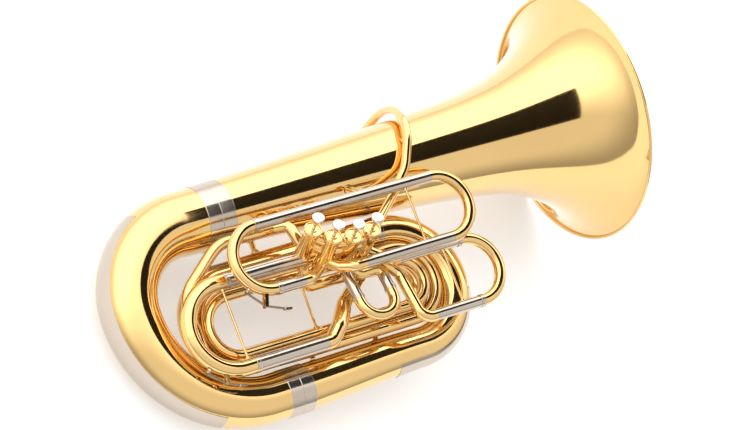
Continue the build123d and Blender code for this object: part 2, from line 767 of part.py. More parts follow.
def makers():
    table = {
        "bell_stem": bell_stem,
        "bell_throat": bell_throat,
        "bell_flare": bell_flare,
        "bell_rim_wire": bell_rim_wire,
        "bottom_bow": bottom_bow,
        "bow_guard": bow_guard,
        "branch_ferrules": branch_ferrules,
        "second_branch": second_branch,
        "top_bow": top_bow,
        "top_bow_guard": top_bow_guard,
        "third_branch": third_branch,
        "inner_bow": inner_bow,
        "fourth_branch": fourth_branch,
        "small_top_bow": small_top_bow,
        "main_tail": main_tail,
        "main_sleeves": main_sleeves,
        "main_slide_crook": main_slide_crook,
        "main_slide_legs": main_slide_legs,
        "main_slide_brace": main_slide_brace,
        "third_tubes": third_tubes,
        "third_bends": third_bends,
        "third_slide_crook": third_slide_crook,
        "third_slide_legs": third_slide_legs,
        "first_sleeves": first_sleeves,
        "first_bends": first_bends,
        "first_slide_crook": first_slide_crook,
        "first_slide_legs": first_slide_legs,
        "second_sleeves": second_sleeves,
        "second_bend": second_bend,
        "second_slide_crook": second_slide_crook,
        "second_slide_legs": second_slide_legs,
        "fourth_outer_bend": fourth_outer_bend,
        "fourth_long_loop": fourth_long_loop,
        "fourth_inner_crook": fourth_inner_crook,
        "fourth_return": fourth_return,
        "valve_top_caps": lambda: all_four(top_cap),
        "valve_bottom_caps": lambda: all_four(bottom_cap),
        "valve_links": valve_links,
        "leadpipe": leadpipe,
        "mouthpiece_receiver": receiver,
        "loop_stays": loop_stays,
        "body_stays": body_stays,
        "third_key_saddle": lambda: key_saddle(THIRD_KEY, "third"),
        "third_key_lever": lambda: key_lever(THIRD_KEY, "third"),
        "third_key_cork": lambda: key_cork(THIRD_KEY, "third"),
        "main_key_saddle": lambda: key_saddle(MAIN_KEY, "main"),
        "main_key_lever": lambda: key_lever(MAIN_KEY, "main"),
        "main_key_cork": lambda: key_cork(MAIN_KEY, "main"),
    }
    for number in VALVE_TOPS:
        table[f"valve_{number}_casing"] = lambda n=number: casing(n)
        table[f"valve_{number}_piston"] = lambda n=number: piston(n)
        table[f"valve_{number}_button"] = lambda n=number: button(n)
    return table


os.makedirs("parts", exist_ok=True)
for name, maker in makers().items():
    placed = lay_down(maker())
    print(name, len(placed.solids()), round(placed.volume), placed.is_valid)
    export_step(placed, f"parts/{name}.step")
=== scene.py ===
"""Tuba lying on its back: smooth brass work, finishes and a soft studio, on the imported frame."""
import json
import math

import bmesh
import bpy
from bmesh.types import BMEdge, BMVert
from bpy.props import FloatProperty, FloatVectorProperty, IntProperty, PointerProperty
from mathutils import Matrix, Vector

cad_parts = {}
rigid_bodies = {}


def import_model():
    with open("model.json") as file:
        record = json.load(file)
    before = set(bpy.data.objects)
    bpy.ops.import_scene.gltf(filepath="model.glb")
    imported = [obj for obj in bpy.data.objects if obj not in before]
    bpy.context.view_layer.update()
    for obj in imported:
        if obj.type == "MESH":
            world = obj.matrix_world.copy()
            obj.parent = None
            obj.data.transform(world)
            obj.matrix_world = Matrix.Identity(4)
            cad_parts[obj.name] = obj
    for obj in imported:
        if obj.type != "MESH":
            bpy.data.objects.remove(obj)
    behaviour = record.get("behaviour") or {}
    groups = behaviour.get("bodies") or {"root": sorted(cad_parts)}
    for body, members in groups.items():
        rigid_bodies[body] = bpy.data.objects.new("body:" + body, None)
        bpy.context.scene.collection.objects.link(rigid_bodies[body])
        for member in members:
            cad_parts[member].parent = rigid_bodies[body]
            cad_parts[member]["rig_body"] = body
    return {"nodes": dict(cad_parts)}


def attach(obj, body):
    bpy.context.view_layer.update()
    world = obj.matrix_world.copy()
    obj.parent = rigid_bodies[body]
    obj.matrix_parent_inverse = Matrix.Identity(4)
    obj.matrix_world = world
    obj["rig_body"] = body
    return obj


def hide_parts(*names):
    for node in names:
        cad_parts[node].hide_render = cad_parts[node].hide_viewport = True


bl_info = {
    "name": "Tuba workshop",
    "version": (1, 0, 0),
    "blender": (4, 5, 0),
    "location": "3D View > Sidebar > Tuba",
    "description": "Builds the bell, bows, tubing, valves and finishes of a four-valve tuba",
    "category": "Object",
}

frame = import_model()

# All tubing is laid out in millimetres in the horn's own frame: X along the bell axis towards
# the mouth, Z out of the valve side. LAY turns it onto its back on the floor, in metres.
LAY = (
    Matrix.Scale(0.001, 4)
    @ Matrix.Translation((-511.949, 66.416, 53.207))
    @ Matrix.Rotation(math.radians(-9.7), 4, "Y")
    @ Matrix.Rotation(math.radians(5.125), 4, "X")
)
BELL_PROFILE = [
    (239, 55.8), (264, 57.0), (321, 59.5), (440, 66.5), (568, 75), (640, 79.5), (704, 84.5),
    (750, 89), (783, 93.5), (829, 102.5), (870, 116), (905, 132), (935, 150), (960, 169.5),
    (980, 190), (992, 206), (1000, 221),
]
BOW_APEX_X = 47.5
BOW_BEND = (132.0, 182.0)
BOW_R_ENDS = (54.5, 40.5)
BOW_R_MID = (BOW_R_ENDS[0] - 14 * 0.42, BOW_R_ENDS[0] - 14 * 0.43)
BELL_JOINT_X = 239.0
BELL_JOINT_R = 55.8
FAR_JOINT_X = 272.0
FAR_Y = -317.5
TOP_X, TOP_Y, TOP_R = 530.0, (-311.0, -105.0), (34.0, 28.0)
INNER_X, INNER_Y, INNER_R = 215.0, (-105.0, -248.0), (25.0, 22.0)
SMALL_X, SMALL_Y, SMALL_R = 525.0, (-248.0, -160.0), (19.0, 17.0)
MAIN_Y, MAIN_Z = (-122.0, -266.0), 62.0
THIRD_Y, THIRD_Z = (-55.0, -165.0), 105.0
FIRST_Y, FIRST_Z = (-169.0, -279.0), 84.0
FOURTH_Y, FOURTH_Z = (-141.0, -243.0), 34.0
SECOND_X, SECOND_Y, SECOND_Z = (411.0, 474.0), -160.0, 62.0
VALVE_TOPS = {1: (448, -118), 2: (411, -120), 3: (375, -112), 4: (344, -92)}
VALVE_Z = 132.0
VALVE_AXIS = Vector((0, math.sin(math.radians(20)), math.cos(math.radians(20))))


class TubaSizes(bpy.types.PropertyGroup):
    """Sizes of the horn, in millimetres."""

    wall: FloatProperty(name="Wall", description="Thickness of the sheet brass", default=0.8)
    loop_bore: FloatProperty(name="Loop tube", description="Outer radius of the valve loops", default=10.0)
    main_bore: FloatProperty(name="Main slide tube", description="Outer radius of the main slide",
                             default=13.5)
    second_bore: FloatProperty(name="Second slide tube", description="Outer radius of the second loop",
                               default=9.5)
    lead_bore: FloatProperty(name="Leadpipe", description="Outer radius of the leadpipe", default=7.8)
    rim_wire: FloatProperty(name="Rim wire", description="Radius of the wire in the bell rim", default=2.6)
    casing: FloatProperty(name="Casing", description="Outer radius of a valve casing", default=13.5)
    cap: FloatProperty(name="Valve cap", description="Outer radius of a top valve cap", default=15.5)
    button: FloatProperty(name="Button", description="Radius of a finger button", default=10.5)
    sides: IntProperty(name="Tube sides", description="Faces round a small tube", default=40)
    big_sides: IntProperty(name="Bow sides", description="Faces round the bell and bows", default=112)


class TubaFinish(bpy.types.PropertyGroup):
    """Colours and polish of the finishes."""

    brass: FloatVectorProperty(name="Brass", description="Lacquered brass", subtype="COLOR",
                               size=4, default=(0.87, 0.58, 0.22, 1))
    nickel: FloatVectorProperty(name="Nickel silver", description="Guards and ferrules", subtype="COLOR",
                                size=4, default=(0.60, 0.52, 0.44, 1))
    plated: FloatVectorProperty(name="Plated parts", description="Pistons and stems", subtype="COLOR",
                                size=4, default=(0.80, 0.76, 0.70, 1))
    pearl: FloatVectorProperty(name="Pearl", description="Button inlays", subtype="COLOR",
                               size=4, default=(0.90, 0.89, 0.86, 1))
    steel: FloatVectorProperty(name="Dark plate", description="Water keys", subtype="COLOR",
                               size=4, default=(0.33, 0.28, 0.22, 1))
    cork: FloatVectorProperty(name="Cork", description="Water key pads", subtype="COLOR",
                              size=4, default=(0.50, 0.31, 0.16, 1))
    felt: FloatVectorProperty(name="Felt", description="Stem washers", subtype="COLOR",
                              size=4, default=(0.16, 0.03, 0.03, 1))
    polish: FloatProperty(name="Polish", description="Roughness of the polished metal", default=0.07)


# ------------------------------------------------------------------ shaping helpers


def ring_edges(bm, at, way, radius, sides):
    """A ring of edges round a point, square to a direction."""
    place = way.to_track_quat("Z", "Y").to_matrix().to_4x4()
    place.translation = at
    made = bmesh.ops.create_circle(bm, cap_ends=False, segments=sides, radius=radius, matrix=place)
    return list(dict.fromkeys(edge for vert in made["verts"] for edge in vert.link_edges))


def corners(edges):
    """The points of a ring, once each and always in the same order."""
    return list(dict.fromkeys(vert for edge in edges for vert in edge.verts))


def resize(bm, edges, centre, factor):
    """Scale a ring about its centre."""
    bmesh.ops.scale(bm, vec=(factor,) * 3, space=Matrix.Translation(-centre), verts=corners(edges))


def draw_on(bm, edges, move):
    """Extrude a ring along a straight."""
    made = bmesh.ops.extrude_edge_only(bm, edges=edges)["geom"]
    bmesh.ops.translate(bm, vec=move, verts=[v for v in made if isinstance(v, BMVert)])
    return [e for e in made if isinstance(e, BMEdge) and not e.link_faces[1:]]


def turn_on(bm, edges, centre, axis, angle):
    """Spin a ring by one small step of a bend."""
    made = bmesh.ops.spin(bm, geom=corners(edges) + edges, cent=centre, axis=axis, dvec=(0, 0, 0),
                          angle=angle, steps=1, use_duplicate=False)["geom_last"]
    return [e for e in made if isinstance(e, BMEdge)]


def route(points, radii):
    """Straights and bends of a bent tube, as (kind, length, data) in order."""
    pts = [Vector(p) for p in points]
    runs = []
    here = pts[0]
    for i in range(1, len(pts) - 1):
        u = (pts[i] - pts[i - 1]).normalized()
        v = (pts[i + 1] - pts[i]).normalized()
        turn = u.angle(v)
        reach = radii[i - 1] * math.tan(turn / 2)
        start = pts[i] - u * reach
        if (start - here).length > 0.02:
            runs.append(("straight", (start - here).length, (here, start)))
        centre = pts[i] + (v - u).normalized() * (radii[i - 1] / math.cos(turn / 2))
        runs.append(("bend", radii[i - 1] * turn, (start, centre, u.cross(v).normalized(), turn)))
        here = pts[i] + v * reach
    if (pts[-1] - here).length > 0.02:
        runs.append(("straight", (pts[-1] - here).length, (here, pts[-1])))
    return runs


def bent_tube(bm, points, radii, r_start, r_end=None, sides=40, step=6.0, caps=True):
    """Tube along a rounded route, with an even taper if r_end differs."""
    r_end = r_start if r_end is None else r_end
    runs = route(points, radii)
    whole = sum(run[1] for run in runs)
    first = (Vector(points[1]) - Vector(points[0])).normalized()
    ends = [ring_edges(bm, Vector(points[0]), first, r_start, sides)]
    edges = ends[0]
    radius = r_start
    gone = 0.0
    for kind, length, data in runs:
        parts = 1
        if kind == "bend":
            parts = max(3, round(math.degrees(data[3]) / step))
        elif length > 60:
            parts = max(2, round(length / 60))
        for k in range(parts):
            if kind == "straight":
                move = (data[1] - data[0]) / parts
                edges = draw_on(bm, edges, move)
                middle = data[0] + move * (k + 1)
            else:
                start, centre, axis, turn = data
                edges = turn_on(bm, edges, centre, axis, turn / parts)
                spin = Matrix.Rotation(turn * (k + 1) / parts, 4, axis)
                middle = centre + spin @ (start - centre)
            gone += length / parts
            wanted = r_start + (r_end - r_start) * gone / whole
            if abs(wanted - radius) > 1e-6:
                resize(bm, edges, middle, wanted / radius)
                radius = wanted
    ends.append(edges)
    if caps:
        for loop in ends:
            bmesh.ops.edgeloop_fill(bm, edges=loop)
    return ends


def lathe(bm, profile, place, sides=64):
    """Turn a profile of (radius, height) about local Z, then put it in place."""
    verts = [bm.verts.new((max(r, 0.0), 0, h)) for r, h in profile]
    edges = [bm.edges.new(pair) for pair in zip(verts, verts[1:])]
    bmesh.ops.spin(bm, geom=verts + edges, cent=(0, 0, 0), axis=(0, 0, 1), dvec=(0, 0, 0),
                   angle=math.tau, steps=sides, use_merge=True, use_duplicate=False)
    made = [v for v in bm.verts if not v.tag]
    bmesh.ops.remove_doubles(bm, verts=made, dist=1e-4)
    made = [v for v in bm.verts if not v.tag]
    bmesh.ops.transform(bm, matrix=place, verts=made)
    for vert in made:
        vert.tag = True


def along(start, way):
    """Matrix that puts local Z along a direction from a start point."""
    place = way.to_track_quat("Z", "Y").to_matrix().to_4x4()
    place.translation = start
    return place


def sleeve(bm, a, b, ra, rb, thick, edge=0.6, sides=72):
    """Ring between two points with softly turned ends."""
    a, b = Vector(a), Vector(b)
    length = (b - a).length
    hold = 0.2
    near, far = ra + thick, rb + thick
    profile = [(ra, 0), (near - edge * 0.6, 0), (near, edge), (near, edge + hold),
               (far, length - edge - hold), (far, length - edge), (far - edge * 0.6, length),
               (rb, length), (ra, 0)]
    lathe(bm, profile, along(a, (b - a).normalized()), sides)


def finish_piece(bm, name, finish, nodes, crease=38.0, tidy=True):
    """Turn a bmesh into a smooth object that stands for the given nodes and rides with them."""
    if tidy:
        bmesh.ops.remove_doubles(bm, verts=bm.verts, dist=1e-3)
        bmesh.ops.recalc_face_normals(bm, faces=bm.faces)
    bmesh.ops.transform(bm, matrix=LAY, verts=bm.verts)
    for face in bm.faces:
        face.smooth = True
    for edge in bm.edges:
        edge.smooth = len(edge.link_faces) == 2 and edge.calc_face_angle(0) < math.radians(crease)
    mesh = bpy.data.meshes.new(name)
    bm.to_mesh(mesh)
    bm.free()
    mesh.materials.append(bpy.data.materials[finish])
    piece = bpy.data.objects.new(name, mesh)
    bpy.context.scene.collection.objects.link(piece)
    weigh = piece.modifiers.new("Flat faces lead", "WEIGHTED_NORMAL")
    weigh.keep_sharp = True
    weigh.weight = 100
    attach(piece, frame["nodes"][nodes[0]]["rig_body"])
    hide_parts(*nodes)
    return piece


def tube_piece(name, routes, finish, nodes):
    """One piece made of several bent tubes, each (points, radii, start radius, end radius, sides)."""
    bm = bmesh.new()
    for points, radii, r_start, r_end, sides in routes:
        bent_tube(bm, points, radii, r_start, r_end, sides)
    return finish_piece(bm, name, finish, nodes, tidy=False)


def polished_copy(node, finish, crease=32.0):
    """Merged, smooth-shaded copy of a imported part, for small fittings whose shape is right."""
    source = frame["nodes"][node]
    bm = bmesh.new()
    bm.from_mesh(source.data)
    bmesh.ops.remove_doubles(bm, verts=bm.verts, dist=2e-6)
    bmesh.ops.transform(bm, matrix=LAY.inverted(), verts=bm.verts)
    return finish_piece(bm, node + "_polished", finish, [node], crease, tidy=False)


def half_loop(x_open, apex, ys, z):
    """Corner points of a crook or bow that opens towards x_open."""
    return [(x_open, ys[0], z), (apex, ys[0], z), (apex, ys[1], z), (x_open, ys[1], z)]


def valve_point(number, down):
    """Point on a valve's axis, down millimetres below the top of its cap."""
    x, y = VALVE_TOPS[number]
    return Vector((x, y, VALVE_Z)) - VALVE_AXIS * down


def valve_at(number, z):
    """Point on a valve's axis at a height."""
    return valve_point(number, (VALVE_Z - z) / VALVE_AXIS.z)


# ------------------------------------------------------------------ finishes


def add_node(tree, kind, **values):
    """New shader node; names with a capital are inputs, the rest are node settings."""
    node = tree.nodes.new(kind)
    for key, value in values.items():
        if key[0].isupper():
            node.inputs[key.replace("_", " ")].default_value = value
        else:
            setattr(node, key, value)
    return node


def handling_group():
    """Shared effect: faint polishing marks and finger haze, as a roughness and a small height."""
    if "Handling" in bpy.data.node_groups:
        return bpy.data.node_groups["Handling"]
    tree = bpy.data.node_groups.new("Handling", "ShaderNodeTree")
    for name, default in (("Roughness", 0.07), ("Haze", 0.03), ("Ripple", 0.2)):
        socket = tree.interface.new_socket(name, in_out="INPUT", socket_type="NodeSocketFloat")
        socket.default_value = default
    for name in ("Roughness", "Height"):
        tree.interface.new_socket(name, in_out="OUTPUT", socket_type="NodeSocketFloat")
    source = tree.nodes.new("NodeGroupInput")
    result = tree.nodes.new("NodeGroupOutput")
    place = add_node(tree, "ShaderNodeTexCoord")
    haze = add_node(tree, "ShaderNodeTexNoise", Scale=9.0, Detail=4.0, Roughness=0.55)
    scuff = add_node(tree, "ShaderNodeTexNoise", Scale=190.0, Detail=2.0)
    ripple = add_node(tree, "ShaderNodeTexNoise", Scale=14.0, Detail=1.0)
    mixed = add_node(tree, "ShaderNodeMath", operation="MULTIPLY")
    spread = add_node(tree, "ShaderNodeMath", operation="MULTIPLY")
    total = add_node(tree, "ShaderNodeMath", operation="ADD")
    height = add_node(tree, "ShaderNodeMath", operation="MULTIPLY")
    for texture in (haze, scuff, ripple):
        tree.links.new(place.outputs["Object"], texture.inputs["Vector"])
    tree.links.new(haze.outputs["Fac"], mixed.inputs[0])
    tree.links.new(scuff.outputs["Fac"], mixed.inputs[1])
    tree.links.new(mixed.outputs[0], spread.inputs[0])
    tree.links.new(source.outputs["Haze"], spread.inputs[1])
    tree.links.new(spread.outputs[0], total.inputs[0])
    tree.links.new(source.outputs["Roughness"], total.inputs[1])
    tree.links.new(total.outputs[0], result.inputs["Roughness"])
    tree.links.new(ripple.outputs["Fac"], height.inputs[0])
    tree.links.new(source.outputs["Ripple"], height.inputs[1])
    tree.links.new(height.outputs[0], result.inputs["Height"])
    return tree


def metal(name, colour, deep, roughness, haze, ripple=0.15, coat=0.0):
    """Polished metal whose colour drifts a little over the surface."""
    material = bpy.data.materials.new(name)
    material.use_nodes = True
    tree = material.node_tree
    shader = tree.nodes["Principled BSDF"]
    shader.inputs["Metallic"].default_value = 1.0
    shader.inputs["Coat Weight"].default_value = coat
    shader.inputs["Coat Roughness"].default_value = 0.04
    place = add_node(tree, "ShaderNodeTexCoord")
    drift = add_node(tree, "ShaderNodeTexNoise", Scale=5.0, Detail=3.0)
    ramp = add_node(tree, "ShaderNodeValToRGB")
    ramp.color_ramp.elements[0].position = 0.35
    ramp.color_ramp.elements[1].position = 0.65
    ramp.color_ramp.elements[0].color = deep
    ramp.color_ramp.elements[1].color = colour
    handled = add_node(tree, "ShaderNodeGroup", node_tree=handling_group())
    handled.inputs["Roughness"].default_value = roughness
    handled.inputs["Haze"].default_value = haze
    handled.inputs["Ripple"].default_value = ripple
    bump = add_node(tree, "ShaderNodeBump", Strength=0.12, Distance=0.0006)
    tree.links.new(place.outputs["Object"], drift.inputs["Vector"])
    tree.links.new(drift.outputs["Fac"], ramp.inputs["Fac"])
    tree.links.new(ramp.outputs["Color"], shader.inputs["Base Color"])
    tree.links.new(handled.outputs["Roughness"], shader.inputs["Roughness"])
    tree.links.new(handled.outputs["Height"], bump.inputs["Height"])
    tree.links.new(bump.outputs["Normal"], shader.inputs["Normal"])
    return material


def plain(name, colour, deep, scale, roughness, bumpiness=0.3, coat=0.0, sheen=0.0):
    """Non-metal finish with a fine grain: pearl, cork or felt."""
    material = bpy.data.materials.new(name)
    material.use_nodes = True
    tree = material.node_tree
    shader = tree.nodes["Principled BSDF"]
    shader.inputs["Coat Weight"].default_value = coat
    shader.inputs["Coat Roughness"].default_value = 0.05
    shader.inputs["Sheen Weight"].default_value = sheen
    shader.inputs["Roughness"].default_value = roughness
    place = add_node(tree, "ShaderNodeTexCoord")
    grain = add_node(tree, "ShaderNodeTexNoise", Scale=scale, Detail=5.0, Distortion=1.2)
    ramp = add_node(tree, "ShaderNodeValToRGB")
    ramp.color_ramp.elements[0].position = 0.38
    ramp.color_ramp.elements[1].position = 0.62
    ramp.color_ramp.elements[0].color = deep
    ramp.color_ramp.elements[1].color = colour
    bump = add_node(tree, "ShaderNodeBump", Strength=bumpiness, Distance=0.0004)
    tree.links.new(place.outputs["Object"], grain.inputs["Vector"])
    tree.links.new(grain.outputs["Fac"], ramp.inputs["Fac"])
    tree.links.new(ramp.outputs["Color"], shader.inputs["Base Color"])
    tree.links.new(grain.outputs["Fac"], bump.inputs["Height"])
    tree.links.new(bump.outputs["Normal"], shader.inputs["Normal"])
    return material


def darker(colour, by):
    """Colour times a factor, opaque."""
    return tuple(c * by for c in colour[:3]) + (1.0,)


class TUBA_OT_finishes(bpy.types.Operator):
    """Make the brass, nickel silver, pearl, cork, felt and plated finishes."""

    bl_idname = "tuba.finishes"
    bl_label = "Finishes"

    def execute(self, context):
        f = context.scene.tuba_finish
        metal("Lacquered brass", tuple(f.brass), darker(f.brass, 0.94), f.polish, 0.05, coat=1.0)
        metal("Nickel silver", tuple(f.nickel), darker(f.nickel, 0.93), f.polish + 0.06, 0.08)
        metal("Plated valve metal", tuple(f.plated), darker(f.plated, 0.9), f.polish + 0.04, 0.08)
        metal("Dark plated steel", tuple(f.steel), darker(f.steel, 0.8), f.polish + 0.1, 0.15)
        plain("Pearl", tuple(f.pearl), (0.80, 0.84, 0.86, 1), 160.0, 0.18, 0.04, coat=0.8)
        plain("Cork", tuple(f.cork), darker(f.cork, 0.45), 900.0, 0.85, 0.9)
        plain("Felt", tuple(f.felt), darker(f.felt, 0.6), 1400.0, 0.95, 0.9, sheen=0.4)
        return {"FINISHED"}


# ------------------------------------------------------------------ bell and big bows


def smooth_profile(points, fine=6):
    """Even out a turned profile with a monotone cubic through its points."""
    rows = []
    n = len(points)
    slopes = [(b[1] - a[1]) / (b[0] - a[0]) for a, b in zip(points, points[1:])]
    tangents = [slopes[0]] + [(a + b) / 2 for a, b in zip(slopes, slopes[1:])] + [slopes[-1] * 1.12]
    for i in range(n - 1):
        (x0, r0), (x1, r1) = points[i], points[i + 1]
        span = x1 - x0
        for k in range(fine):
            t = k / fine
            h = (2 * t**3 - 3 * t**2 + 1, t**3 - 2 * t**2 + t, -2 * t**3 + 3 * t**2, t**3 - t**2)
            rows.append((x0 + span * t, h[0] * r0 + h[1] * span * tangents[i] + h[2] * r1
                         + h[3] * span * tangents[i + 1]))
    rows.append(points[-1])
    return rows


class TUBA_OT_bell(bpy.types.Operator):
    """Spin the flared bell with its inner wall, and the wired rim."""

    bl_idname = "tuba.bell"
    bl_label = "Bell"

    def execute(self, context):
        s = context.scene.tuba_sizes
        rows = smooth_profile(BELL_PROFILE)
        outer = [(r, x) for x, r in rows]
        inner = [(r - s.wall, x) for r, x in reversed(outer)]
        bm = bmesh.new()
        axis = along(Vector((0, 0, 0)), Vector((1, 0, 0)))
        lathe(bm, outer + inner + outer[:1], axis, s.big_sides)
        finish_piece(bm, "bell_sheet", "Lacquered brass",
                     ["bell_stem", "bell_throat", "bell_flare"], 60)
        bm = bmesh.new()
        x, r = BELL_PROFILE[-1]
        circle = [(r + 1.2 + s.rim_wire * math.cos(a), x - 1.2 + s.rim_wire * math.sin(a))
                  for a in (math.tau * k / 16 for k in range(17))]
        lathe(bm, circle, axis, s.big_sides)
        finish_piece(bm, "bell_rim_roll", "Lacquered brass", ["bell_rim_wire"], 60)
        return {"FINISHED"}


def bow_centres():
    """Centres of the bottom bow's two bends, the bell side first."""
    bell_centre = Vector((BOW_APEX_X + BOW_BEND[0], -BOW_BEND[0], 0))
    far_centre = Vector((BOW_APEX_X + BOW_BEND[1], BOW_BEND[1] + FAR_Y, 0))
    return bell_centre, far_centre


def swept_bow(bm, edges, centre, angle, r0, r1, steps):
    """Spin a ring of edges about an upright axis through centre while it tapers."""
    radius = r0
    middle = sum((v.co for v in corners(edges)), Vector()) / len(corners(edges))
    for k in range(steps):
        edges = turn_on(bm, edges, centre, Vector((0, 0, 1)), math.radians(angle) / steps)
        middle = centre + Matrix.Rotation(math.radians(angle) / steps, 3, "Z") @ (middle - centre)
        wanted = r0 + (r1 - r0) * (k + 1) / steps
        resize(bm, edges, middle, wanted / radius)
        radius = wanted
    return edges


def guard_arc(bm, centre, bend, angle, radius, half):
    """Open arc of a tube's cross-section on the outside of its bend, at an angle of the bend."""
    verts = []
    count = 24
    turn = Matrix.Rotation(math.radians(angle), 3, "Z")
    for k in range(count + 1):
        a = math.radians(-half + 2 * half * k / count)
        local = Vector((bend + radius * math.cos(a), 0, radius * math.sin(a)))
        verts.append(bm.verts.new(centre + turn @ local))
    return [bm.edges.new(pair) for pair in zip(verts, verts[1:])]


def swept_guard(bm, edges, centre, bend, start, end, r0, r1, steps):
    """Spin a guard's arc from one angle of a bend to another while it tapers."""
    radius = r0
    for k in range(steps):
        edges = turn_on(bm, edges, centre, Vector((0, 0, 1)), math.radians(end - start) / steps)
        angle = math.radians(start + (end - start) * (k + 1) / steps)
        middle = centre + Vector((math.cos(angle), math.sin(angle), 0)) * bend
        wanted = r0 + (r1 - r0) * (k + 1) / steps
        resize(bm, edges, middle, wanted / radius)
        radius = wanted
    return edges


def guard_piece(bm, name, node):
    """Give a guard its thickness and a soft edge."""
    bmesh.ops.recalc_face_normals(bm, faces=bm.faces)
    piece = finish_piece(bm, name, "Nickel silver", [node], 80, tidy=False)
    solid = piece.modifiers.new("Sheet", "SOLIDIFY")
    solid.thickness = 0.0008
    solid.offset = 0.0
    return piece


